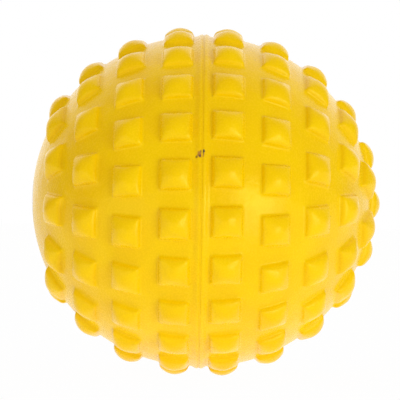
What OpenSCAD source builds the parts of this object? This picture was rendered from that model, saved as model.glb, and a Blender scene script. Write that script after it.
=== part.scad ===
// Sensory ball: two moulded rubber halves bonded at a raised seam, with rows of square nubs
// that stand 10 mm apart, and a reed squeaker pushed into the bare pole of the left half.
// The ball's axis lies along X. The left, bare pole points to -X and the right pole to +X.

/* [Shell] */
// Radius of each half's outer surface
shell_r = 34.7; // [28:0.1:50]
// Distance from the seam to the centre of each half's curve, which makes the ball slightly long
half_shift = 0.9; // [0:0.1:2]
// Thickness of the rubber wall
shell_wall = 3; // [2:0.1:4]

/* [Seam] */
// Width of the raised band over both halves
band_w = 2.8; // [2:0.1:5]
// Height of the raised band above the shell
band_h = 0.5; // [0.3:0.05:1]
// Size of the bevel along each outer edge of the band
band_edge = 0.3; // [0.1:0.05:0.3]
// Thickness of the cement between the two halves
bond_t = 0.3; // [0.1:0.05:0.6]
// Depth of the cement line below the top of the band
bond_sink = 0.15; // [0.1:0.05:0.8]
// Depth of the bonding flange inside the wall
flange_depth = 2; // [1:0.1:3]
// Length of the bonding flange along the ball's axis
flange_l = 4; // [2:0.5:6]

/* [Nubs] */
// Width of a nub where it meets the shell
nub_base = 6.3; // [4:0.1:7]
// Width of a nub where its straight sides end and its domed top starts
nub_shoulder = 5.6; // [3.6:0.1:6.2]
// Width of the flat in the middle of a nub's domed top
nub_top = 2; // [1:0.1:3]
// Height of a nub
nub_h = 2.2; // [1.8:0.05:3]
// Height of a nub's straight sides
nub_side_h = 1.05; // [0.3:0.05:1.5]
// Radius of a nub's upright corners at the shell
nub_corner = 0.6; // [0.4:0.1:1.5]
// Distance along the surface from the equator of a half to its first row
first_row = 4.3; // [4.2:0.05:5]
// Distance along the surface from one row to the next
row_pitch = 10; // [8.5:0.1:12]
// Least distance from nub to nub within a row
nub_pitch = 9.75; // [8.5:0.05:12]

/* [Squeaker] */
// Radius of the squeaker's round body
squeaker_r = 5.5; // [4.5:0.1:7]
// Length of the squeaker from the edge of its face to its inner end
squeaker_l = 11; // [10:0.5:14]
// How far the squeaker's flange stands out from its body
flange_out = 1.5; // [0.8:0.1:2.5]
// Thickness of that flange
flange_t = 1.2; // [0.8:0.1:2]
// How far the rubber lip reaches over the flange
lip_hold = 2; // [0.8:0.1:3]
// Thickness of the rubber lip over the flange
lip_t = 1; // [0.7:0.1:1.5]
// Wall of the squeaker's body
squeaker_wall = 1.2; // [0.8:0.1:1.6]
// Radius of the vent hole through the squeaker's face
vent_r = 1.2; // [0.8:0.1:1.6]
// Thickness of the rubber collar round the squeaker
collar_wall = 3; // [1.5:0.1:4]

/* [Reed] */
// Width of the reed
reed_w = 5; // [3:0.1:6]
// Thickness of the reed
reed_t = 0.25; // [0.15:0.01:0.4]
// Length of the reed that the clamp holds
reed_root = 2.6; // [2:0.1:3.2]
// Free length of the reed
reed_free = 5.4; // [4:0.1:6]
// Angle by which the bed falls away under the free length
bed_fall = 5; // [4:0.5:8]
// Width of the air channel in the bed
channel_w = 3; // [1.5:0.1:4]
// Depth of the air channel in the bed
channel_d = 1.4; // [0.8:0.1:2]

/* [Hidden] */
$fn = 96;

// The rows stop short of the pole on the bare half
left_rows = 4;
right_rows = 5;
// Angle from the front to each row's first nub, as a share of the row's own step
left_turn_shares = [0.463, 0.622, 0.424, 0.22];
right_turn_shares = [0.402, 0.556, 0.344, 0.127, 0.513];

// Clearances: the reed in its clamp, a plastic piece in the squeaker's bore, and every cut's overrun
reed_gap = 0.1;
fit_gap = 0.03;
overrun = 1;

inner_r = shell_r - shell_wall;
band_r = shell_r + band_h;
flange_in_r = inner_r - flange_depth;
bond_half = bond_t / 2;
band_half = band_w / 2;
nub_root = shell_wall / 3;
pole_x = half_shift + shell_r;

// The squeaker is drawn along +Z with its inner end down and the edge of its face at z = 0
flange_r = squeaker_r + flange_out;
face_r = flange_r - lip_hold;
housing_bore_r = squeaker_r - squeaker_wall;
insert_r = housing_bore_r - fit_gap;
face_t = squeaker_wall;
collar_r = squeaker_r + collar_wall;
flange_z = -lip_t - flange_t;
bore_top_z = -face_t;
clamp_end_z = bore_top_z - reed_gap - reed_root;
reed_end_z = clamp_end_z - reed_free;
slot_half = reed_t / 2 + reed_gap;
// The face carries on the shell's curve, so its edge lies below the pole
face_rise = shell_r - sqrt(shell_r * shell_r - face_r * face_r);
squeaker_z = pole_x - face_rise;

shell_colour = "#F5C400";
bond_colour = "#C99A00";
housing_colour = "#F2EFE6";
insert_colour = "#E4DFD0";
reed_colour = "#D8D2BE";

function latitude(row) = (first_row + row * row_pitch) / shell_r * 180 / PI;
function nubs_in(row) = 2 * floor(PI * shell_r * cos(latitude(row)) / nub_pitch);

// One nub, drawn on the shell's surface with its top along +Z
module nub() {
    intersection() {
        nub_wedge();
        rotate([0, 0, 90]) nub_wedge();
        nub_corners();
    }
}

// Two of a nub's drafted sides, with the dome between them
module nub_wedge() {
    side = nub_side(1);
    rotate([90, 0, 0])
        linear_extrude(2 * nub_base, center = true)
            polygon(concat(side, [for (i = [len(side) - 1:-1:0]) [-side[i][0], side[i][1]]]));
}

// The turned shape that rounds a nub's upright corners
module nub_corners() {
    corner_share = nub_corner / (nub_base / 2);
    rotate_extrude()
        polygon(concat(
            [[0, -nub_root]],
            nub_side(sqrt(2) - (sqrt(2) - 1) * corner_share),
            [[0, nub_h]]));
}

// A nub's side from below the shell to its top: a drafted line, then an arc that ends on the flat.
// Its distances from the nub's middle are stretched by the share given.
function nub_side(stretch) =
    let (
        shoulder = nub_shoulder / 2,
        top = nub_top / 2,
        draft = (nub_base / 2 - shoulder) / nub_side_h,
        turn = 2 * atan((nub_h - nub_side_h) / (shoulder - top)),
        round_r = (shoulder - top) / sin(turn),
        steps = 4)
    concat([[stretch * (nub_base / 2 + draft * nub_root), -nub_root]],
           [for (i = [steps:-1:0]) [
               stretch * (top + round_r * sin(turn * i / steps)),
               nub_h - round_r * (1 - cos(turn * i / steps))]]);

// The rows of nubs of one half, which is drawn with its pole along +Z
module nub_rows(rows, turn_shares) {
    for (row = [0:rows - 1]) {
        step = 360 / nubs_in(row);
        for (i = [0:nubs_in(row) - 1])
            translate([0, 0, half_shift])
                rotate([0, 90 - latitude(row), (i + turn_shares[row]) * step - 90])
                    translate([0, 0, shell_r])
                        nub();
    }
}

// The smooth shell of one half with its share of the seam band and of the bonding flange.
// What is given as its child stays solid inside it.
module half_shell_body() {
    intersection() {
        union() {
            difference() {
                translate([0, 0, half_shift]) sphere(shell_r);
                difference() {
                    translate([0, 0, half_shift]) sphere(inner_r);
                    children();
                }
            }
            seam_rim();
        }
        translate([0, 0, bond_half]) cylinder(h = 2 * shell_r, r = 2 * shell_r);
    }
}

// The raised band outside and the flange inside, up to the face that is cemented
module seam_rim() {
    wall_mid_r = (shell_r + inner_r) / 2;
    rotate_extrude()
        polygon([
            [flange_in_r, bond_half],
            [band_r, bond_half],
            [band_r, band_half - band_edge],
            [band_r - band_edge, band_half],
            [wall_mid_r, band_half + band_h],
            [wall_mid_r, flange_l + flange_depth],
            [inner_r, flange_l + flange_depth],
            [flange_in_r, flange_l]]);
}

// The room that the squeaker's housing fills in the rubber
module squeaker_pocket() {
    translate([0, 0, squeaker_z]) {
        translate([0, 0, -lip_t]) cylinder(h = lip_t + face_rise + overrun, r = face_r);
        translate([0, 0, flange_z]) cylinder(h = flange_t, r = flange_r);
        translate([0, 0, -squeaker_l - overrun]) cylinder(h = squeaker_l, r = squeaker_r);
    }
}

module left_half_shell() {
    color(shell_colour)
        mirror([1, 0, 0]) rotate([0, 90, 0]) {
            difference() {
                half_shell_body() squeaker_collar();
                squeaker_pocket();
            }
            nub_rows(left_rows, left_turn_shares);
        }
}

// The thick rubber collar that carries the squeaker inside the bare pole: it widens into the wall
module squeaker_collar() {
    bevel = collar_wall / 3;
    translate([0, 0, squeaker_z - squeaker_l])
        rotate_extrude()
            polygon([
                [0, 0],
                [collar_r - bevel, 0],
                [collar_r, bevel],
                [collar_r + bevel, squeaker_l - shell_wall - bevel],
                [collar_r + collar_wall, squeaker_l],
                [0, squeaker_l]]);
}

module right_half_shell() {
    color(shell_colour)
        rotate([0, 90, 0]) {
            half_shell_body();
            nub_rows(right_rows, right_turn_shares);
            translate([0, 0, pole_x]) nub();
        }
}

module seam_bond() {
    color(bond_colour)
        rotate([0, 90, 0])
            difference() {
                cylinder(h = bond_t, r = band_r - bond_sink, center = true);
                cylinder(h = bond_t + overrun, r = flange_in_r, center = true);
            }
}

// Puts a piece of the squeaker, drawn with its face at z = 0, into the bare pole
module in_squeaker() {
    mirror([1, 0, 0]) rotate([0, 90, 0]) translate([0, 0, squeaker_z]) children();
}

module squeaker_housing() {
    color(housing_colour)
        in_squeaker()
            intersection() {
                rotate_extrude()
                    polygon([
                        [vent_r, face_rise],
                        [face_r, face_rise],
                        [face_r, -lip_t],
                        [flange_r, -lip_t],
                        [flange_r, flange_z],
                        [squeaker_r, flange_z],
                        [squeaker_r, -squeaker_l],
                        [housing_bore_r, -squeaker_l],
                        [housing_bore_r, -face_t],
                        [vent_r, -face_t]]);
                translate([0, 0, face_rise - shell_r]) sphere(shell_r);
            }
}

// Half of the round insert, on the side of the reed that half_space gives
module insert_half(end_z) {
    difference() {
        translate([0, 0, end_z]) cylinder(h = bore_top_z - end_z, r = insert_r);
        children();
    }
}

// The lower half of the insert: its face falls away under the reed, with an air channel down its middle
module reed_bed() {
    bed_end_z = -squeaker_l + reed_gap;
    fall = (clamp_end_z - bed_end_z + overrun) * tan(bed_fall);
    channel_end_z = reed_end_z + reed_root / 2;
    color(insert_colour)
        in_squeaker()
            insert_half(bed_end_z) {
                rotate([0, -90, 0])
                    linear_extrude(2 * squeaker_r, center = true)
                        polygon([
                            [overrun, -slot_half],
                            [clamp_end_z, -slot_half],
                            [bed_end_z - overrun, -slot_half - fall],
                            [bed_end_z - overrun, squeaker_r],
                            [overrun, squeaker_r]]);
                translate([-channel_w / 2, -slot_half - channel_d, channel_end_z])
                    cube([channel_w, channel_d + squeaker_r, squeaker_l]);
            }
}

// The upper half of the insert, which holds the reed's root against the bed
module reed_clamp() {
    color(insert_colour)
        in_squeaker()
            insert_half(clamp_end_z)
                translate([-squeaker_r, slot_half - 2 * squeaker_r, -squeaker_l])
                    cube([2 * squeaker_r, 2 * squeaker_r, squeaker_l + overrun]);
}

module reed() {
    color(reed_colour)
        in_squeaker()
            translate([-reed_w / 2, -reed_t / 2, reed_end_z])
                cube([reed_w, reed_t, reed_free + reed_root]);
}

left_half_shell();
right_half_shell();
seam_bond();
squeaker_housing();
reed_bed();
reed_clamp();
reed();
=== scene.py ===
"""Sensory ball: two moulded rubber halves with rows of square nubs, bonded at a raised seam.

The ball's axis lies along X. The bare pole with the squeaker points to -X, the pole with a nub to +X.
"""

import math
import random

import bmesh
import bpy
import numpy as np
from bpy.props import FloatProperty, FloatVectorProperty, IntProperty, PointerProperty, StringProperty
from mathutils import Matrix, Vector


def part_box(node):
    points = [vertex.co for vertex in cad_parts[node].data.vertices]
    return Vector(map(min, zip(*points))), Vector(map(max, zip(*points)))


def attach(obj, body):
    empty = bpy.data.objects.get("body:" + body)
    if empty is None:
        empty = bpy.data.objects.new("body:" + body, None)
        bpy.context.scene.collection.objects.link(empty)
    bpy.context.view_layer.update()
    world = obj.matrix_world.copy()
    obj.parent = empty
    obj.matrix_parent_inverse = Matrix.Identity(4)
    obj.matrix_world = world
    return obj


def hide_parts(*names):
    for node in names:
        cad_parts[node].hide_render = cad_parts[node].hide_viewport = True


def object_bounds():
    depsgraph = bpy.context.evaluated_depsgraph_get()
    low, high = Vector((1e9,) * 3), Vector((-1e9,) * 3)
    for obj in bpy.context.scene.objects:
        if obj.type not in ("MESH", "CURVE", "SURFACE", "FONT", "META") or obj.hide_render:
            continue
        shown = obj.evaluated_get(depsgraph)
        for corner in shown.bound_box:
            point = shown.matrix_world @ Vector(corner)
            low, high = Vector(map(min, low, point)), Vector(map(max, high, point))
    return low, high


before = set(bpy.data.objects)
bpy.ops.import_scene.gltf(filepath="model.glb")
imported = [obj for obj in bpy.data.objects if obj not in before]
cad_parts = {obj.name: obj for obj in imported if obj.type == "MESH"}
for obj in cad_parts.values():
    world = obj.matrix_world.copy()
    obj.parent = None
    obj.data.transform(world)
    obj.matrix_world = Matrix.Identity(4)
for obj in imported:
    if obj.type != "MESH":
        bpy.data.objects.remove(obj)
CAD_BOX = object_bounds()

bl_info = {
    "name": "Sensory ball",
    "version": (1, 0, 0),
    "blender": (4, 5, 0),
    "location": "3D View > Sidebar > Sensory ball",
    "description": "Builds a nubbed rubber ball with a squeaker, from its shells to its finish",
    "category": "Add Mesh",
}

MM = 0.001
# The side of Y that faces the camera
FRONT = -1

# A half's outer surface, and how far its centre lies from the seam
SHELL_RADIUS = 34.7 * MM
HALF_SHIFT = 0.9 * MM

# Specks on the seam: how far sideways and upward of their common place in mm, radius in mm, and colour
SPECKS = (
    (-0.25, -0.2, 0.72, "#B8803E"), (-0.4, -0.55, 0.3, "#76503C"), (0.15, 0.4, 0.46, "#463E44"),
    (-1.1, -0.75, 0.28, "#94701E"))

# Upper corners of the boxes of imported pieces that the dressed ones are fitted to
BOND_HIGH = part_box("seam_bond")[1]
HOUSING_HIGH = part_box("squeaker_housing")[1]
RIGHT_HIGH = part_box("right_half_shell")[1]

# Points nearer than this are one point
MERGE_REACH = 0.001 * MM
# Latitude of the last ring inside a closed half, next to its pole
INNER_POLE = math.radians(88)
# How far a finished piece may reach out of the box of the node that it stands for
BOX_SLACK = 0.02 * MM


class BallShape(bpy.types.PropertyGroup):
    """Sizes of the two hollow halves."""

    shell_radius: FloatProperty(
        name="Shell radius", description="Radius of each half's outer surface",
        default=SHELL_RADIUS, unit="LENGTH", precision=5)
    half_shift: FloatProperty(
        name="Half shift", description="Distance from the seam to the centre of each half's curve",
        default=HALF_SHIFT, unit="LENGTH", precision=5)
    wall: FloatProperty(
        name="Wall", description="Thickness of the rubber wall",
        default=3 * MM, unit="LENGTH", precision=5)
    turned_points: IntProperty(
        name="Turned points", description="Points round each turned surface", default=240, min=48)
    inner_rings: IntProperty(
        name="Inner rings", description="Rings over the inside of a half", default=24, min=8)
    cap_rings: IntProperty(
        name="Cap rings", description="Rings over the bare pole", default=12, min=4)


class NubShape(bpy.types.PropertyGroup):
    """Sizes and places of the square nubs."""

    base: FloatProperty(
        name="Foot width", description="Width of a nub where its sides meet the shell",
        default=6.3 * MM, unit="LENGTH", precision=5)
    shoulder: FloatProperty(
        name="Shoulder width", description="Width of a nub where its straight sides end",
        default=5.85 * MM, unit="LENGTH", precision=5)
    side_height: FloatProperty(
        name="Side height", description="Height of a nub's straight sides",
        default=1.05 * MM, unit="LENGTH", precision=5)
    height: FloatProperty(
        name="Height", description="Height of a nub above the shell, as the packed ball has it at its pole",
        default=RIGHT_HIGH.x - SHELL_RADIUS - HALF_SHIFT, unit="LENGTH", precision=5)
    edge_radius: FloatProperty(
        name="Edge rounding", description="Radius of the rounding round a nub's domed top",
        default=1.5 * MM, unit="LENGTH", precision=5)
    foot_radius: FloatProperty(
        name="Foot fillet", description="Radius of the fillet where a nub's sides meet the shell",
        default=0.5 * MM, unit="LENGTH", precision=5)
    corner_share: FloatProperty(
        name="Corner share", description="Radius of a nub's upright corners as a share of its half width",
        default=0.16, min=0.05, max=0.9)
    corner_fall: FloatProperty(
        name="Corner fall", description="How much lower a nub is at its corners, as a share of its height",
        default=0.2, min=0, max=0.6)
    crown_angle: FloatProperty(
        name="Crown angle", description="Slope of a nub's domed top where its edge rounding starts",
        default=math.radians(33), subtype="ANGLE")
    first_row: FloatProperty(
        name="First row", description="Distance along the surface from a half's equator to its first row",
        default=4.3 * MM, unit="LENGTH", precision=5)
    row_pitch: FloatProperty(
        name="Row pitch", description="Distance along the surface from one row to the next",
        default=10 * MM, unit="LENGTH", precision=5)
    nub_pitch: FloatProperty(
        name="Nub pitch", description="Least distance from nub to nub within a row",
        default=9.75 * MM, unit="LENGTH", precision=5)
    row_gap: FloatProperty(
        name="Row gap", description="Width of the strip of mesh that joins two rows of nubs",
        default=0.7 * MM, unit="LENGTH", precision=5)
    unevenness: FloatProperty(
        name="Unevenness", description="How far a nub's top may stray from its true place",
        default=0.06 * MM, unit="LENGTH", precision=5)
    twist: FloatProperty(
        name="Twist", description="How far a nub's top may be turned",
        default=math.radians(1), subtype="ANGLE")
    seed: IntProperty(name="Seed", description="Seed of the nubs' small differences", default=11)


class SeamShape(bpy.types.PropertyGroup):
    """Sizes of the raised band where the halves meet, and of the flange inside it."""

    width: FloatProperty(
        name="Band width", description="Width of the raised band over both halves",
        default=3.2 * MM, unit="LENGTH", precision=5)
    height: FloatProperty(
        name="Band height", description="Height of the raised band above the shell",
        default=0.5 * MM, unit="LENGTH", precision=5)
    lip_round: FloatProperty(
        name="Lip rounding", description="How far a lip falls away at the parting line",
        default=0.1 * MM, unit="LENGTH", precision=5)
    flange_depth: FloatProperty(
        name="Flange depth", description="Depth of the bonding flange inside the wall",
        default=2 * MM, unit="LENGTH", precision=5)
    flange_length: FloatProperty(
        name="Flange length", description="Length of the bonding flange along the axis",
        default=4 * MM, unit="LENGTH", precision=5)


class SqueakerShape(bpy.types.PropertyGroup):
    """Sizes of the squeaker's seat: the rubber collar and lip that hold its housing."""

    body_radius: FloatProperty(
        name="Body radius", description="Radius of the squeaker's round body",
        default=5.5 * MM, unit="LENGTH", precision=5)
    flange_thickness: FloatProperty(
        name="Flange thickness", description="Thickness of the housing's flange",
        default=1.2 * MM, unit="LENGTH", precision=5)
    lip_hold: FloatProperty(
        name="Lip hold", description="How far the rubber lip reaches over the flange",
        default=2 * MM, unit="LENGTH", precision=5)
    lip_thickness: FloatProperty(
        name="Lip thickness", description="Thickness of the rubber lip over the flange",
        default=1 * MM, unit="LENGTH", precision=5)
    collar_wall: FloatProperty(
        name="Collar wall", description="Thickness of the rubber collar round the squeaker",
        default=3 * MM, unit="LENGTH", precision=5)
    edge_round: FloatProperty(
        name="Edge rounding", description="Rounding of the rubber lip's edge",
        default=0.2 * MM, unit="LENGTH", precision=5)


class BallFinish(bpy.types.PropertyGroup):
    """Colours of the ball's rubber and plastics, as sRGB hex, their gloss and the scales of their grain."""

    rubber: StringProperty(
        name="Rubber", description="Colour of the rubber", default="#FBD100")
    rubber_deep: StringProperty(
        name="Deep rubber", description="Colour of the rubber's richer patches", default="#F7CA00")
    rubber_gleam: StringProperty(
        name="Rubber gleam", description="Tint of what the rubber reflects where it is seen square on",
        default="#FFEE8C")
    cement: StringProperty(
        name="Cement", description="Colour of the cement line", default="#F3C800")
    pinhole_shade: StringProperty(
        name="Pinhole shade", description="Colour of the shade in a pinhole", default="#5A4636")
    housing: StringProperty(
        name="Housing", description="Colour of the squeaker's housing", default="#F2EFE6")
    insert: StringProperty(
        name="Insert", description="Colour of the squeaker's insert", default="#E4DFD0")
    reed: StringProperty(
        name="Reed", description="Colour of the reed", default="#D8D2BE")
    rubber_roughness: FloatVectorProperty(
        name="Rubber roughness", description="Roughness of the rubber in its glossiest and dullest places",
        default=(0.18, 0.34), size=2, min=0, max=1)
    cement_roughness: FloatProperty(
        name="Cement roughness", description="Roughness of the cement line", default=0.28, min=0, max=1)
    patch_size: FloatProperty(
        name="Patch size", description="Width of the rubber's richer and paler patches",
        default=9 * MM, unit="LENGTH", precision=5)
    peel_size: FloatProperty(
        name="Peel size", description="Width of the fine dimples that the mould leaves",
        default=0.4 * MM, unit="LENGTH", precision=5)
    peel_depth: FloatProperty(
        name="Peel depth", description="Depth of those dimples",
        default=0.036 * MM, unit="LENGTH", precision=6)
    pinhole_spacing: FloatProperty(
        name="Pinhole spacing", description="Distance between places where a pinhole may be",
        default=7 * MM, unit="LENGTH", precision=5)
    pinhole_share: FloatProperty(
        name="Pinhole share", description="Share of those places that have a pinhole",
        default=0.45, min=0, max=1)
    pinhole_radius: FloatProperty(
        name="Pinhole radius", description="Radius of a pinhole",
        default=0.22 * MM, unit="LENGTH", precision=5)
    speck_place: FloatVectorProperty(
        name="Speck place", description="Place on the seam where a few dark specks are moulded in",
        default=(0, -33.85 * MM, 9.6 * MM), unit="LENGTH", precision=5)


class StageLook(bpy.types.PropertyGroup):
    """The camera, the lamps and the floor."""

    camera_distance: FloatProperty(
        name="Camera distance", description="Distance from the camera to the ball's centre",
        default=525 * MM, unit="LENGTH", precision=4)
    camera_offset: FloatVectorProperty(
        name="Camera offset", description="Sideways and upward shift of the camera, which frames the ball",
        default=(-0.25 * MM, 0.3 * MM), size=2, unit="LENGTH", precision=5)
    camera_roll: FloatProperty(
        name="Camera roll", description="Turn of the camera about its own line of sight",
        default=math.radians(0.95), subtype="ANGLE")
    lens: FloatProperty(
        name="Lens", description="Focal length in millimetres on a 36 mm sensor", default=223.8)
    key_power: FloatProperty(
        name="Key power", description="Power of the soft box at the right", default=1.22, unit="POWER")
    lamp_light: StringProperty(
        name="Lamp light", description="Colour of the lamps, which are daylight lamps", default="#F0FFFA")
    fill_power: FloatProperty(
        name="Fill power", description="Power of the soft box at the left", default=0.3, unit="POWER")
    table_power: FloatProperty(
        name="Table power", description="Power of the lamp under the light table that the ball lies on",
        default=1.75, unit="POWER")
    sky: StringProperty(name="Sky", description="Colour of the light all round", default="#FFF5EE")
    sky_strength: FloatProperty(
        name="Sky strength", description="Strength of the light all round", default=0.74)
    room_level: FloatProperty(
        name="Room level", description="Brightness of the dim room that the ball's front reflects",
        default=0.04, min=0, max=1)
    sweep_level: FloatProperty(
        name="Sweep level", description="Brightness of the overexposed sweep that the ball's edges reflect",
        default=1.3, min=0, max=2)
    floor: StringProperty(name="Floor", description="Colour of the floor", default="#F4F4F4")
    floor_glow: FloatProperty(
        name="Floor glow", description="Share of plain white in what the camera sees of the floor",
        default=0.98, min=0, max=1)


def linear(colour):
    """Turns an sRGB hex colour into Blender's linear red, green, blue and alpha."""
    parts = [int(colour[i:i + 2], 16) / 255 for i in (1, 3, 5)]
    return [part / 12.92 if part <= 0.04045 else ((part + 0.055) / 1.055) ** 2.4 for part in parts] + [1]


def add_node(tree, kind, values=None, links=None, **settings):
    """Adds a node. Settings are its own properties, values its sockets' numbers, links what feeds them."""
    node = tree.nodes.new(kind)
    for name, value in settings.items():
        setattr(node, name, value)
    for socket, value in (values or {}).items():
        node.inputs[socket].default_value = value
    for socket, source in (links or {}).items():
        tree.links.new(source, node.inputs[socket])
    return node


def new_material(name):
    """An empty node material and its tree."""
    material = bpy.data.materials.new(name)
    material.use_nodes = True
    material.node_tree.nodes.clear()
    return material, material.node_tree


def patchy_pigment(tree, place, finish):
    """The rubber's colour. Pigment that isn't mixed quite evenly gives broad patches."""
    patches = add_node(
        tree, "ShaderNodeTexNoise", {"Scale": 1 / finish.patch_size, "Detail": 3, "Roughness": 0.55},
        {"Vector": place})
    share = add_node(
        tree, "ShaderNodeMapRange", {"From Min": 0.35, "From Max": 0.65}, {"Value": patches.outputs["Fac"]})
    return add_node(
        tree, "ShaderNodeMix", {"A": linear(finish.rubber), "B": linear(finish.rubber_deep)},
        {"Factor": share.outputs["Result"]}, data_type="RGBA").outputs["Result"]


def pinhole_mask(tree, place, finish):
    """1 in a pinhole and 0 round it. Air trapped against the mould leaves one in some cells of a pattern."""
    cells = add_node(
        tree, "ShaderNodeTexVoronoi", {"Scale": 1 / finish.pinhole_spacing, "Randomness": 1},
        {"Vector": place})
    has_pinhole = add_node(
        tree, "ShaderNodeMath", {1: 1 - finish.pinhole_share}, {0: cells.outputs["Color"]},
        operation="GREATER_THAN")
    edge = finish.pinhole_radius / finish.pinhole_spacing
    depth = add_node(
        tree, "ShaderNodeMapRange", {"From Min": edge, "From Max": edge / 3},
        {"Value": cells.outputs["Distance"]})
    return add_node(
        tree, "ShaderNodeMath", None, {0: has_pinhole.outputs[0], 1: depth.outputs["Result"]},
        operation="MULTIPLY").outputs[0]


def with_pinholes(tree, colour, mask, finish):
    """The colour with the shade in its pinholes, which light from the side still reaches."""
    darkest = 0.5
    share = add_node(tree, "ShaderNodeMath", {1: darkest}, {0: mask}, operation="MULTIPLY")
    return add_node(
        tree, "ShaderNodeMix", {"B": linear(finish.pinhole_shade)},
        {"Factor": share.outputs[0], "A": colour}, data_type="RGBA").outputs["Result"]


def with_specks(tree, place, colour, finish):
    """The colour with a few specks of scorched rubber that lie together at one place on the seam."""
    fray_size = MM / 3
    rim_share, core_share, cover = 1.7, 1.2, 0.95
    frayed = add_node(
        tree, "ShaderNodeTexNoise", {"Scale": 1 / fray_size, "Detail": 2}, {"Vector": place})
    for sideways, upward, radius, hue in SPECKS:
        middle = Vector(finish.speck_place) + Vector((sideways, 0, upward)) * MM
        distance = add_node(
            tree, "ShaderNodeVectorMath", {1: middle}, {0: place}, operation="DISTANCE")
        ragged = add_node(
            tree, "ShaderNodeMath", {1: radius * MM},
            {0: frayed.outputs["Fac"], 2: distance.outputs["Value"]}, operation="MULTIPLY_ADD")
        speck = add_node(
            tree, "ShaderNodeMapRange",
            {"From Min": rim_share * radius * MM, "From Max": core_share * radius * MM, "To Max": cover},
            {"Value": ragged.outputs[0]})
        colour = add_node(
            tree, "ShaderNodeMix", {"B": linear(hue)},
            {"Factor": speck.outputs["Result"], "A": colour}, data_type="RGBA").outputs["Result"]
    return colour


def moulded_rubber(finish):
    """Moulded rubber, satin: its skin scatters light softly, pales at a glancing angle, has fine
    dimples from the mould, patches a little richer in colour, and a pinhole or speck here and there."""
    material, tree = new_material("Moulded rubber satin")
    place = add_node(tree, "ShaderNodeTexCoord").outputs["Object"]
    pinholes = pinhole_mask(tree, place, finish)
    colour = patchy_pigment(tree, place, finish)
    colour = with_pinholes(tree, colour, pinholes, finish)
    colour = with_specks(tree, place, colour, finish)

    # The mould's own skin: fine dimples, with slower and deeper swells under them
    swell_size = 5 * finish.peel_size
    swell_height = 2.5
    peel = add_node(
        tree, "ShaderNodeTexNoise", {"Scale": 1 / finish.peel_size, "Detail": 1.5, "Roughness": 0.5},
        {"Vector": place})
    swells = add_node(
        tree, "ShaderNodeTexNoise", {"Scale": 1 / swell_size, "Detail": 1}, {"Vector": place})
    relief = add_node(
        tree, "ShaderNodeMath", {1: swell_height}, {0: swells.outputs["Fac"], 2: peel.outputs["Fac"]},
        operation="MULTIPLY_ADD")
    pitted = add_node(
        tree, "ShaderNodeMath", None, {0: relief.outputs[0], 1: pinholes}, operation="SUBTRACT")
    bump = add_node(
        tree, "ShaderNodeBump", {"Strength": 1, "Distance": finish.peel_depth},
        {"Height": pitted.outputs[0]})
    glossiest, dullest = finish.rubber_roughness
    roughness = add_node(
        tree, "ShaderNodeMapRange",
        {"From Min": 0.3, "From Max": 0.7, "To Min": glossiest, "To Max": dullest},
        {"Value": peel.outputs["Fac"]})
    shader = add_node(
        tree, "ShaderNodeBsdfPrincipled",
        {"IOR": 1.5, "Specular IOR Level": 0.5, "Specular Tint": linear(finish.rubber_gleam)},
        {"Base Color": colour, "Roughness": roughness.outputs["Result"], "Normal": bump.outputs["Normal"]})
    add_node(tree, "ShaderNodeOutputMaterial", None, {"Surface": shader.outputs["BSDF"]})
    return material


def rubber_cement(finish):
    """Rubber cement, brushed on and pressed out: a thin line, a little darker than the rubber."""
    material, tree = new_material("Rubber cement pressed")
    place = add_node(tree, "ShaderNodeTexCoord").outputs["Object"]
    grain = add_node(
        tree, "ShaderNodeTexNoise", {"Scale": 1 / finish.peel_size, "Detail": 3}, {"Vector": place})
    colour = add_node(
        tree, "ShaderNodeMix", {"A": linear(finish.cement), "B": linear(finish.rubber_deep)},
        {"Factor": grain.outputs["Fac"]}, data_type="RGBA")
    bump = add_node(
        tree, "ShaderNodeBump", {"Strength": 1, "Distance": finish.peel_depth},
        {"Height": grain.outputs["Fac"]})
    shader = add_node(
        tree, "ShaderNodeBsdfPrincipled",
        {"IOR": 1.5, "Specular Tint": linear(finish.rubber_gleam), "Roughness": finish.cement_roughness},
        {"Base Color": colour.outputs["Result"], "Normal": bump.outputs["Normal"]})
    add_node(tree, "ShaderNodeOutputMaterial", None, {"Surface": shader.outputs["BSDF"]})
    return material


def moulded_plastic(name, colour, roughness, grain_size, finish):
    """Moulded plastic: an even colour that lets a little light in, a slight flow of shade, a fine grain."""
    material, tree = new_material(name)
    place = add_node(tree, "ShaderNodeTexCoord").outputs["Object"]
    flow = add_node(
        tree, "ShaderNodeTexNoise", {"Scale": 1 / finish.patch_size, "Detail": 2}, {"Vector": place})
    paler = add_node(
        tree, "ShaderNodeMix", {"A": linear(colour), "B": (1, 1, 1, 1), "Factor": 0.25}, data_type="RGBA")
    shade = add_node(
        tree, "ShaderNodeMix", {"A": linear(colour)},
        {"Factor": flow.outputs["Fac"], "B": paler.outputs["Result"]}, data_type="RGBA")
    grain = add_node(tree, "ShaderNodeTexNoise", {"Scale": 1 / grain_size, "Detail": 2}, {"Vector": place})
    bump = add_node(
        tree, "ShaderNodeBump", {"Strength": 0.6, "Distance": finish.peel_depth},
        {"Height": grain.outputs["Fac"]})
    shader = add_node(
        tree, "ShaderNodeBsdfPrincipled",
        {"IOR": 1.49, "Roughness": roughness, "Subsurface Weight": 0.15, "Subsurface Scale": MM},
        {"Base Color": shade.outputs["Result"], "Normal": bump.outputs["Normal"]})
    add_node(tree, "ShaderNodeOutputMaterial", None, {"Surface": shader.outputs["BSDF"]})
    return material


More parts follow.
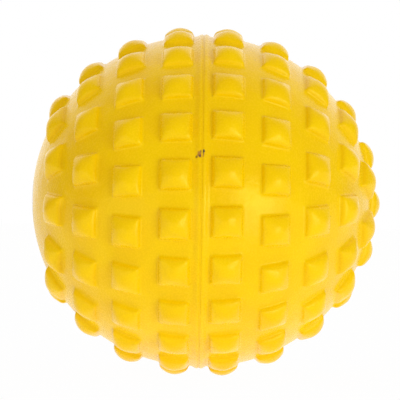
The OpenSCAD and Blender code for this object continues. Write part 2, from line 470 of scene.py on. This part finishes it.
class Draft:
    """The points and faces of one mesh. Rings run round the ball's axis, from its front downward."""

    def __init__(self):
        self.points = []
        self.faces = []

    def add(self, points):
        """Adds points, given as distance along the half's axis, Y and Z, and returns their numbers."""
        first = len(self.points)
        self.points.extend(tuple(point) for point in points)
        return list(range(first, len(self.points)))

    def turned_ring(self, along, radius, count):
        """Adds a ring of points at one distance along the axis."""
        turns = np.arange(count) * 2 * math.pi / count
        return self.add(zip(
            np.full(count, along), FRONT * radius * np.cos(turns), FRONT * radius * np.sin(turns),
            strict=True))

    def bridge(self, ring, onward):
        """Joins a ring to the next one, which has as many points."""
        for i in range(len(ring)):
            j = (i + 1) % len(ring)
            self.faces.append((ring[i], onward[i], onward[j], ring[j]))

    def zip_up(self, ring, onward):
        """Joins two rings that have different points, with a strip of triangles."""
        near, far = self.sorted_round(ring), self.sorted_round(onward)
        i = j = 0
        while i < len(ring) or j < len(onward):
            here, there = near[i % len(ring)][1], far[j % len(onward)][1]
            if j == len(onward) or (i < len(ring) and near[i + 1][0] <= far[j + 1][0]):
                i += 1
                self.faces.append((here, there, near[i % len(ring)][1]))
            else:
                j += 1
                self.faces.append((here, there, far[j % len(onward)][1]))

    def sorted_round(self, ring):
        """The ring's turns from the front, in order and closed, each with its point's number."""
        places = [(self.points[i], i) for i in ring]
        turns = sorted((math.atan2(FRONT * z, FRONT * y) % (2 * math.pi), i) for (_, y, z), i in places)
        return turns + [(turns[0][0] + 2 * math.pi, turns[0][1])]

    def made(self, name, side):
        """The object on the half that side gives: 1 towards +X, -1 towards -X."""
        points = np.array(self.points) * (side, 1, 1)
        faces = [face[::-1] for face in self.faces] if side > 0 else self.faces
        mesh = bpy.data.meshes.new(name)
        mesh.from_pydata(points.tolist(), [], faces)
        shell = bmesh.new()
        shell.from_mesh(mesh)
        bmesh.ops.remove_doubles(shell, verts=shell.verts, dist=MERGE_REACH)
        if not all(edge.is_manifold for edge in shell.edges):
            raise RuntimeError(f"{name} isn't closed")
        shell.to_mesh(mesh)
        shell.free()
        mesh.shade_smooth()
        piece = bpy.data.objects.new(name, mesh)
        bpy.context.scene.collection.objects.link(piece)
        return piece


class NubPattern:
    """One nub and the patch of shell round it, drawn flat, with rings that start at a corner."""

    arc_steps = 3
    straight_steps = 6
    edge_steps = 5
    foot_steps = 4
    side_steps = 2 * arc_steps + straight_steps
    # The crown's mesh: a block of squares to the first share of its reach, and one ring at the second
    crown_shares = (0.65, 0.85)
    crown_ring_squareness = 0.5
    # How much of the room below a nub its foot fillet may take
    room_share = 0.9
    # The search for the edge of a patch: the farthest that it may lie, as an angle, and how often it halves
    farthest = 0.7
    halvings = 40

    def __init__(self, shape, nubs):
        self.radius = shape.shell_radius
        self.shift = shape.half_shift
        self.nubs = nubs
        self.foot = nubs.base / 2
        self.steepness = math.atan2(nubs.side_height, (nubs.base - nubs.shoulder) / 2)
        self.reach = self.crown_reach()
        self.rings = self.top_rings() + self.foot_rings()

    def ring(self, half, squareness=0):
        """Points round a square with rounded corners. A squareness of 1 makes it sharp, with even steps."""
        corner = half * self.nubs.corner_share
        flat = half - corner
        turns = [math.pi / 4 * (1 + i / self.arc_steps) for i in range(self.arc_steps)]
        side = [(flat + corner * math.cos(turn), flat + corner * math.sin(turn)) for turn in turns]
        side += [(flat * (1 - 2 * i / self.straight_steps), half) for i in range(self.straight_steps)]
        turns = [math.pi / 2 + turn - math.pi / 4 for turn in turns]
        side += [(-flat + corner * math.cos(turn), flat + corner * math.sin(turn)) for turn in turns]
        even = [(half * (1 - 2 * i / self.side_steps), half) for i in range(self.side_steps)]
        side = np.array(side) * (1 - squareness) + np.array(even) * squareness
        quarter = np.array([(0, 1), (-1, 0)])
        return np.concatenate([side @ np.linalg.matrix_power(quarter, i) for i in range(4)])

    def top_rings(self):
        """Rings over the rounding of the edge: each is a half width and a height."""
        slope, edge = self.nubs.crown_angle, self.nubs.edge_radius
        middle = (
            self.reach - edge * math.sin(slope),
            self.nubs.height - math.tan(slope) * self.reach / 2 - edge * math.cos(slope))
        turns = [slope + (self.steepness - slope) * i / self.edge_steps for i in range(self.edge_steps + 1)]
        return [(middle[0] + edge * math.sin(turn), middle[1] + edge * math.cos(turn)) for turn in turns]

    def crown_reach(self):
        """Distance from a nub's middle to where its crown turns into the rounding of its edge.

        It is the one at which that rounding ends along the straight side."""
        nubs = self.nubs
        slope, steep, edge = nubs.crown_angle, self.steepness, nubs.edge_radius
        reach = self.foot + edge * math.sin(slope)
        reach -= (edge + (nubs.height - edge * math.cos(slope)) * math.cos(steep)) / math.sin(steep)
        return reach / (1 - math.tan(slope) / math.tan(steep) / 2)

    def crown(self, flat):
        """Heights of the crown, a pillow that falls to all four sides."""
        across, onward = (flat[:, 0] / self.reach) ** 2, (flat[:, 1] / self.reach) ** 2
        fall = math.tan(self.nubs.crown_angle) * self.reach / 2
        return self.nubs.height - fall * (across + onward - across * onward)

    def lowered(self, flat, height, reach):
        """Heights with a nub's corners brought down, for places up to a half width from its middle."""
        return height * (1 - self.nubs.corner_fall * (flat[:, 0] * flat[:, 1] / reach ** 2) ** 2)

    def foot_rings(self):
        """Rings down the fillet at the foot."""
        fillet = self.nubs.foot_radius
        middle = self.foot + fillet * math.tan(self.steepness / 2)
        turns = [self.steepness * (1 - i / self.foot_steps) for i in range(self.foot_steps + 1)]
        return [(middle - fillet * math.sin(turn), fillet * (1 - math.cos(turn))) for turn in turns]

    def boundary(self, latitude, low, high, half_turn):
        """Directions from the half's centre to the edge of the nub's patch, one for each point of a ring.

        The patch lies between two latitudes, and reaches half_turn to each side of the nub."""
        out, north, east = axes(latitude, 0)
        flat = self.ring(1)
        ways = flat / np.linalg.norm(flat, axis=1)[:, None]
        across = ways[:, :1] * north + ways[:, 1:] * east
        near, far = np.zeros(len(ways)), np.full(len(ways), self.farthest)
        for _ in range(self.halvings):
            middle = (near + far) / 2
            spot = out * np.cos(middle)[:, None] + across * np.sin(middle)[:, None]
            inside = within(spot, low, high, half_turn)
            near, far = np.where(inside, middle, near), np.where(inside, far, middle)
        edge = out * np.cos(near)[:, None] + across * np.sin(near)[:, None]
        if half_turn < math.pi:
            for corner_latitude in (low, high):
                for turn in (-half_turn, half_turn):
                    corner = axes(corner_latitude, turn)[0]
                    edge[np.argmax(edge @ corner)] = corner
        return edge

    def quirks(self, rng):
        """The small differences of one nub: how its top is shifted, tilted, turned and lowered."""
        nubs = self.nubs
        shift = np.array([rng.uniform(-1, 1), rng.uniform(-1, 1)]) * nubs.unevenness
        tilt = np.array([rng.uniform(-1, 1), rng.uniform(-1, 1)]) * nubs.unevenness
        twist = rng.uniform(-1, 1) * nubs.twist
        shrink = 1 - rng.uniform(0, 1) * nubs.unevenness / nubs.height
        cosine, sine = math.cos(twist), math.sin(twist)
        return shift, tilt, np.array([(cosine, sine), (-sine, cosine)]), shrink

    def squeeze(self, room):
        """The share of its width that a nub's foot fillet keeps, where the band leaves it little room."""
        fillet_end = self.rings[-1][0]
        return min(1, (room - self.foot) * self.room_share / (fillet_end - self.foot))

    def lifted(self, flat, height, latitude, squeeze, quirks):
        """Points in space, for places in a nub's own plane and heights above the shell."""
        full_height = self.nubs.height
        shift, tilt, twisted, shrink = quirks
        share = np.asarray(height, float) / full_height
        flat = flat + (flat @ twisted - flat + shift) * share[:, None]
        flat[:, 0] = np.where(
            flat[:, 0] < -self.foot, -self.foot + (flat[:, 0] + self.foot) * squeeze, flat[:, 0])
        ground = np.sqrt(self.radius ** 2 - (flat ** 2).sum(1))
        lean = flat @ tilt / self.foot - np.abs(tilt).sum()
        rise = ground + (self.radius + full_height - ground) * share * shrink + lean * share
        out, north, east = axes(latitude, 0)
        return flat[:, :1] * north + flat[:, 1:] * east + rise[:, None] * out

    def flat_parts(self):
        """The nub's points, drawn flat, with their heights: the crown's block, then ring after ring."""
        block_share, rim_share = self.crown_shares
        lines = block_share * self.reach * (1 - 2 * np.arange(self.side_steps + 1) / self.side_steps)
        grid = np.array([(north_line, east_line) for north_line in lines for east_line in lines])
        rim = self.ring(rim_share * self.reach, self.crown_ring_squareness)
        parts = [(part, self.lowered(part, self.crown(part), self.reach)) for part in (grid, rim)]
        for reach, height in self.rings:
            ring = self.ring(reach)
            parts.append((ring, self.lowered(ring, height, reach)))
        return parts

    def place(self, draft, latitude, turn, low, high, half_turn, rng):
        """Adds a nub with its patch to the draft. Returns the numbers of the points round the patch."""
        room = self.radius * (latitude - low) if half_turn < math.pi else self.foot * 2
        squeeze = self.squeeze(room)
        quirks = self.quirks(rng)
        made = [self.lifted(flat, height, latitude, squeeze, quirks) for flat, height in self.flat_parts()]
        edge = self.boundary(latitude, low, high, half_turn) * self.radius
        between = (made[-1] + edge) / 2
        made.append(between / np.linalg.norm(between, axis=1)[:, None] * self.radius)
        made.append(edge)
        cosine, sine = math.cos(turn), math.sin(turn)
        spin = np.array([(1, 0, 0), (0, cosine, sine), (0, -sine, cosine)])
        return self.joined(draft, [draft.add(part @ spin + (self.shift, 0, 0)) for part in made])

    def joined(self, draft, numbers):
        """Adds the faces of the crown's block and from ring to ring. Returns the outermost ring."""
        steps = self.side_steps
        block = np.array(numbers[0]).reshape(steps + 1, steps + 1)
        for i in range(steps):
            for j in range(steps):
                draft.faces.append((block[i + 1, j], block[i + 1, j + 1], block[i, j + 1], block[i, j]))
        inner = [*block[:-1, 0], *block[-1, :-1], *block[:0:-1, -1], *block[0, :0:-1]]
        for outer in numbers[1:]:
            for i in range(len(outer)):
                j = (i + 1) % len(outer)
                draft.faces.append((outer[i], outer[j], inner[j], inner[i]))
            inner = outer
        return inner


def axes(latitude, turn):
    """Outward, polewards and onward directions at a place on a half, in parts along its axis, Y and Z."""
    aside, along = math.cos(latitude), math.sin(latitude)
    depth, rise = FRONT * math.cos(turn), FRONT * math.sin(turn)
    out = np.array((along, aside * depth, aside * rise))
    north = np.array((aside, -along * depth, -along * rise))
    east = np.array((0, -rise, depth))
    return out, north, east


def within(spots, low, high, half_turn):
    """Whether directions lie between two latitudes and within a turn from the front."""
    latitude = np.arcsin(np.clip(spots[:, 0], -1, 1))
    turn = np.arctan2(FRONT * spots[:, 2], FRONT * spots[:, 1])
    return (latitude > low) & (latitude < high) & (np.abs(turn) < half_turn)


def nubs_round(shape, nubs, latitude):
    """How many nubs stand round a row: an even number, as many as the pitch allows."""
    return 2 * int(math.pi * shape.shell_radius * math.cos(latitude) / nubs.nub_pitch)


def nub_rows(draft, shape, nubs, turn_shares, below, rng):
    """Adds the rows of nubs of one half above the ring below, and returns the ring at their upper edge."""
    pattern = NubPattern(shape, nubs)
    on_edge_share = 1e-7
    half_gap = nubs.row_gap / 2 / shape.shell_radius
    seam_room = math.asin((draft.points[below[0]][0] - shape.half_shift) / shape.shell_radius)
    for row, share in enumerate(turn_shares):
        latitude = (nubs.first_row + row * nubs.row_pitch) / shape.shell_radius
        reach = nubs.row_pitch / 2 / shape.shell_radius
        low = max(latitude - reach, seam_room) + half_gap / 2
        high = latitude + reach - half_gap
        count = nubs_round(shape, nubs, latitude)
        lower, upper = [], []
        for i in range(count):
            turn = (i + share) * 2 * math.pi / count
            for number in pattern.place(draft, latitude, turn, low, high, math.pi / count, rng):
                along = (draft.points[number][0] - shape.half_shift) / shape.shell_radius
                if abs(along - math.sin(low)) < on_edge_share:
                    lower.append(number)
                if abs(along - math.sin(high)) < on_edge_share:
                    upper.append(number)
        draft.zip_up(below, once_each(draft, lower))
        below = once_each(draft, upper)
    return below


def once_each(draft, ring):
    """A ring with each point once that two neighbouring patches share."""
    seen = {}
    for number in ring:
        place = tuple(round(value / MERGE_REACH) for value in draft.points[number])
        seen.setdefault(place, number)
    return list(seen.values())


def turned(draft, profile, count):
    """Adds one ring for each distance along the axis and radius of a profile, and joins them."""
    rings = [draft.turned_ring(along, radius, count) for along, radius in profile]
    for ring, onward in zip(rings, rings[1:], strict=False):
        draft.bridge(ring, onward)
    return rings


def inside_profile(shape, seam, start):
    """The inside of a half from a place near its pole down to the face that is cemented."""
    inner = shape.shell_radius - shape.wall
    flange = inner - seam.flange_depth
    end = math.asin((seam.flange_length + seam.flange_depth - shape.half_shift) / inner)
    profile = arc(shape, inner, start, end, shape.inner_rings)
    return profile + [(seam.flange_length, flange), (BOND_HIGH.x, flange)]


def arc(shape, radius, start, end, rings):
    """Distances along the axis and radii of rings on a half's sphere, from one latitude to another."""
    turns = [start + (end - start) * i / rings for i in range(rings + 1)]
    return [(shape.half_shift + radius * math.sin(turn), radius * math.cos(turn)) for turn in turns]


def band_profile(shape, seam, bead):
    """The raised band from the cement to the shell. The bead is how far its crown reaches across."""
    half = seam.width / 2
    top = shape.shell_radius + seam.height
    edge = seam.lip_round
    face = BOND_HIGH.x
    cement = BOND_HIGH.z
    foot = math.sqrt(shape.shell_radius ** 2 - (half + edge - shape.half_shift) ** 2)
    crest = face + (half - face) * bead
    lip = face + edge / 3
    profile = [(face, cement - edge), (face, cement), (lip, top - edge)]
    steps = 6
    for i in range(1, steps + 1):
        share = i / steps
        profile.append((lip + (crest - face - edge / 3) * share, top - edge * (1 - share) ** 2))
    for i in range(1, steps + 1):
        share = i / steps
        eased = share * share * (3 - 2 * share)
        profile.append((crest + (half + edge - crest) * share, top - (top - foot) * eased))
    return profile


def lip_profile(shape, squeaker):
    """The rubber round the squeaker, from the lip's outer edge to the inside of the ball."""
    housing_flange = HOUSING_HIGH.z
    housing_end = -HOUSING_HIGH.x
    mouth = housing_flange - squeaker.lip_hold
    rim = shape.half_shift + math.sqrt(shape.shell_radius ** 2 - mouth ** 2)
    collar = squeaker.body_radius + squeaker.collar_wall
    bevel = squeaker.collar_wall / 3
    root_share = 0.9
    seat = rim - squeaker.lip_thickness
    edge = squeaker.edge_round
    return [
        (rim - edge / 3, mouth + edge / 3), (rim - edge, mouth), (seat, mouth), (seat, housing_flange),
        (seat - squeaker.flange_thickness, housing_flange),
        (seat - squeaker.flange_thickness, squeaker.body_radius),
        (housing_end, squeaker.body_radius), (housing_end, collar - bevel), (housing_end + bevel, collar),
        (seat - shape.wall, collar + bevel * root_share)]


def moulded_half(name, side, turn_shares, bead, settings):
    """Builds one half as a closed shell with its wall, flange, band and nubs."""
    shape, nubs, seam, squeaker = settings
    rng = random.Random(nubs.seed + side)
    draft = Draft()
    count = shape.turned_points
    inner = shape.shell_radius - shape.wall
    bare_pole = side < 0
    if bare_pole:
        lip = lip_profile(shape, squeaker)
        profile = lip + inside_profile(shape, seam, math.acos(lip[-1][1] / inner))[1:]
    else:
        profile = inside_profile(shape, seam, INNER_POLE)
    profile += band_profile(shape, seam, bead)
    rings = turned(draft, profile, count)
    upper = nub_rows(draft, shape, nubs, turn_shares, rings[-1], rng)
    rows_end = nubs.first_row + (len(turn_shares) - 0.5) * nubs.row_pitch
    polewards = (rows_end + nubs.row_gap / 2) / shape.shell_radius
    if bare_pole:
        mouth = math.acos((profile[0][1] + squeaker.edge_round) / shape.shell_radius)
        cap = turned(draft, arc(shape, shape.shell_radius, polewards, mouth, shape.cap_rings), count)
        draft.zip_up(upper, cap[0])
        draft.bridge(cap[-1], rings[0])
    else:
        pole = draft.add([(shape.half_shift + inner, 0, 0)])[0]
        for i in range(count):
            draft.faces.append((pole, rings[0][i], rings[0][(i + 1) % count]))
        pattern = NubPattern(shape, nubs)
        patch = pattern.place(draft, math.pi / 2, 0, polewards, math.pi, 2 * math.pi, rng)
        draft.zip_up(upper, patch)
    return draft.made(name, side)


def stay_inside(piece, node):
    """Raises an error if a piece reaches out of the box of the node that it stands for."""
    low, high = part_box(node)
    for vertex in piece.data.vertices:
        for value, least, most in zip(vertex.co, low, high, strict=True):
            if not least - BOX_SLACK <= value <= most + BOX_SLACK:
                raise RuntimeError(f"{piece.name} reaches out of {node} at {tuple(vertex.co)}")


def dress(piece, material):
    """Gives a piece one material, in all its slots."""
    piece.data.materials.clear()
    piece.data.materials.append(material)
    for slot in piece.material_slots:
        slot.material = material


class BALL_OT_halves(bpy.types.Operator):
    """Builds the two rubber halves with their nubs"""

    bl_idname = "ball.halves"
    bl_label = "Rubber halves"

    # The first nub of each row, from the front, as a share of the row's own step
    left_turn_shares = (0.463, 0.622, 0.424, 0.22)
    right_turn_shares = (0.402, 0.556, 0.344, 0.127, 0.513)
    # The right half's lip is rounded further across than the left one's
    left_bead = 0.1
    right_bead = 0.25

    def execute(self, context):
        scene = context.scene
        settings = (scene.ball_shape, scene.ball_nubs, scene.ball_seam, scene.ball_squeaker)
        rubber = moulded_rubber(scene.ball_finish)
        for node, side, shares, bead in (
                ("left_half_shell", -1, self.left_turn_shares, self.left_bead),
                ("right_half_shell", 1, self.right_turn_shares, self.right_bead)):
            piece = moulded_half(node.replace("_shell", "_rubber"), side, shares, bead, settings)
            stay_inside(piece, node)
            dress(piece, rubber)
            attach(piece, "ball")
            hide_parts(node)
        return {"FINISHED"}


class BALL_OT_bond(bpy.types.Operator):
    """Gives the ring of cement its finish"""

    bl_idname = "ball.bond"
    bl_label = "Cement ring"

    def execute(self, context):
        dress(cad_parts["seam_bond"], rubber_cement(context.scene.ball_finish))
        return {"FINISHED"}


class BALL_OT_squeaker(bpy.types.Operator):
    """Gives the squeaker's housing, insert and reed their finish"""

    bl_idname = "ball.squeaker"
    bl_label = "Squeaker"

    housing_roughness = 0.4
    insert_roughness = 0.35
    film_roughness = 0.2

    def execute(self, context):
        finish = context.scene.ball_finish
        grain = finish.peel_size / 2
        housing = moulded_plastic(
            "Polypropylene moulded", finish.housing, self.housing_roughness, grain, finish)
        insert = moulded_plastic("Polystyrene moulded", finish.insert, self.insert_roughness, grain, finish)
        film = moulded_plastic("Polyester film cut", finish.reed, self.film_roughness, grain, finish)
        for node, material in (
                ("squeaker_housing", housing), ("reed_bed", insert), ("reed_clamp", insert), ("reed", film)):
            dress(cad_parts[node], material)
        return {"FINISHED"}


class BALL_OT_stage(bpy.types.Operator):
    """Sets up the floor, the light and the camera"""

    bl_idname = "ball.stage"
    bl_label = "Stage"

    def execute(self, context):
        look = context.scene.ball_stage
        pale_floor(look)
        light_all_round(look)
        soft_lamps(look)
        photo_camera(look)
        context.scene.view_settings.view_transform = "Standard"
        return {"FINISHED"}


def pale_floor(look):
    """A pale floor that the ball rests on. The camera sees it nearly white, with the ball's shadow."""
    reach = 3000 * MM
    mesh = bpy.data.meshes.new("floor")
    corners = [(-reach, -reach, 0), (reach, -reach, 0), (reach, reach, 0), (-reach, reach, 0)]
    mesh.from_pydata(corners, [], [(0, 1, 2, 3)])
    floor = bpy.data.objects.new("floor", mesh)
    floor.location.z = CAD_BOX[0].z
    bpy.context.scene.collection.objects.link(floor)
    material, tree = new_material("Paper sweep matt")
    diffuse = add_node(tree, "ShaderNodeBsdfDiffuse", {"Color": linear(look.floor)})
    glow = add_node(tree, "ShaderNodeEmission", {"Color": (1, 1, 1, 1), "Strength": 1})
    shown = add_node(
        tree, "ShaderNodeMath", {1: look.floor_glow}, {0: seen_or_mirrored(tree)}, operation="MULTIPLY")
    mixed = add_node(
        tree, "ShaderNodeMixShader", None, {0: shown.outputs[0], 1: diffuse.outputs[0], 2: glow.outputs[0]})
    add_node(tree, "ShaderNodeOutputMaterial", None, {"Surface": mixed.outputs[0]})
    floor.data.materials.append(material)
    floor.visible_shadow = False


def seen_or_mirrored(tree):
    """A socket that is 1 where the camera, a reflection or a clear piece sees the surface or the sky."""
    path = add_node(tree, "ShaderNodeLightPath")
    either = add_node(
        tree, "ShaderNodeMath", None,
        {0: path.outputs["Is Camera Ray"], 1: path.outputs["Is Glossy Ray"]}, operation="MAXIMUM")
    return add_node(
        tree, "ShaderNodeMath", None,
        {0: either.outputs[0], 1: path.outputs["Is Transmission Ray"]}, operation="MAXIMUM").outputs[0]


def light_all_round(look):
    """Even light on the ball. The camera sees plain white, and a reflection sees the studio: a white sweep
    behind, above and below the ball, and a dim room in front of it and at its sides."""
    steep_weight = 0.5
    sweep_start, sweep_full = 0.4, 0.95
    world = bpy.data.worlds.new("studio")
    bpy.context.scene.world = world
    world.use_nodes = True
    tree = world.node_tree
    tree.nodes.clear()
    way = add_node(
        tree, "ShaderNodeSeparateXYZ", None,
        {"Vector": add_node(tree, "ShaderNodeTexCoord").outputs["Generated"]})
    steep = add_node(tree, "ShaderNodeMath", None, {0: way.outputs["Z"]}, operation="ABSOLUTE")
    backward = add_node(
        tree, "ShaderNodeMath", {1: steep_weight}, {0: steep.outputs[0], 2: way.outputs["Y"]},
        operation="MULTIPLY_ADD")
    sweep = add_node(
        tree, "ShaderNodeMapRange",
        {"From Min": sweep_start, "From Max": sweep_full,
         "To Min": look.room_level, "To Max": look.sweep_level},
        {"Value": backward.outputs[0]})
    mirrored = add_node(tree, "ShaderNodeLightPath").outputs["Is Glossy Ray"]
    level = add_node(
        tree, "ShaderNodeMix", {"A": 1}, {"Factor": mirrored, "B": sweep.outputs["Result"]})
    light = add_node(
        tree, "ShaderNodeBackground", {"Color": linear(look.sky), "Strength": look.sky_strength})
    white = add_node(
        tree, "ShaderNodeBackground", {"Color": (1, 1, 1, 1)}, {"Strength": level.outputs["Result"]})
    mixed = add_node(
        tree, "ShaderNodeMixShader", None,
        {0: seen_or_mirrored(tree), 1: light.outputs[0], 2: white.outputs[0]})
    add_node(tree, "ShaderNodeOutputWorld", None, {"Surface": mixed.outputs[0]})


def soft_lamps(look):
    """A soft box at the front right, a weaker one at the left, and a broad lamp underneath.

    Widths, heights and places are in metres."""
    for name, power, width, height, place in (
            ("key", look.key_power, 0.3, 0.3, (0.34, -0.48, -0.06)),
            ("fill", look.fill_power, 0.4, 0.28, (-0.43, -0.41, -0.07)),
            ("table", look.table_power, 0.5, 0.5, (0.05, -0.04, -0.54))):
        lamp = bpy.data.lights.new(name, "AREA")
        lamp.shape = "RECTANGLE"
        lamp.size = width
        lamp.size_y = height
        lamp.energy = power
        lamp.color = linear(look.lamp_light)[:3]
        stand = bpy.data.objects.new(name, lamp)
        stand.location = place
        stand.rotation_euler = (-Vector(place)).to_track_quat("-Z", "Y").to_euler()
        bpy.context.scene.collection.objects.link(stand)


def photo_camera(look):
    """The camera looks along +Y from the front, square to the ball's axis."""
    lens = bpy.data.cameras.new("camera")
    lens.lens = look.lens
    camera = bpy.data.objects.new("camera", lens)
    bpy.context.scene.collection.objects.link(camera)
    sideways, upward = look.camera_offset
    place = Matrix.Translation((sideways, FRONT * look.camera_distance, upward))
    aim = Matrix.Rotation(math.pi / 2, 4, "X") @ Matrix.Rotation(look.camera_roll, 4, "Z")
    camera.matrix_world = place @ aim
    bpy.context.scene.camera = camera


class BALL_PT_panel(bpy.types.Panel):
    """Lists the steps that build the ball"""

    bl_idname = "BALL_PT_panel"
    bl_label = "Sensory ball"
    bl_space_type = "VIEW_3D"
    bl_region_type = "UI"
    bl_category = "Sensory ball"

    def draw(self, context):
        for step in STEPS:
            self.layout.operator(step.bl_idname)
        for name in PROPERTIES:
            group = getattr(context.scene, name)
            box = self.layout.box()
            for key in group.__annotations__:
                box.prop(group, key)


STEPS = (BALL_OT_halves, BALL_OT_bond, BALL_OT_squeaker, BALL_OT_stage)
PROPERTIES = {
    "ball_shape": BallShape,
    "ball_nubs": NubShape,
    "ball_seam": SeamShape,
    "ball_squeaker": SqueakerShape,
    "ball_finish": BallFinish,
    "ball_stage": StageLook,
}
CLASSES = (*PROPERTIES.values(), *STEPS, BALL_PT_panel)


def register():
    for cls in CLASSES:
        bpy.utils.register_class(cls)
    for name, group in PROPERTIES.items():
        setattr(bpy.types.Scene, name, PointerProperty(type=group))


def unregister():
    for name in PROPERTIES:
        delattr(bpy.types.Scene, name)
    for cls in reversed(CLASSES):
        bpy.utils.unregister_class(cls)


def main():
    register()
    bpy.ops.ball.halves()
    bpy.ops.ball.bond()
    bpy.ops.ball.squeaker()
    bpy.ops.ball.stage()


if __name__ == "__main__":
    main()
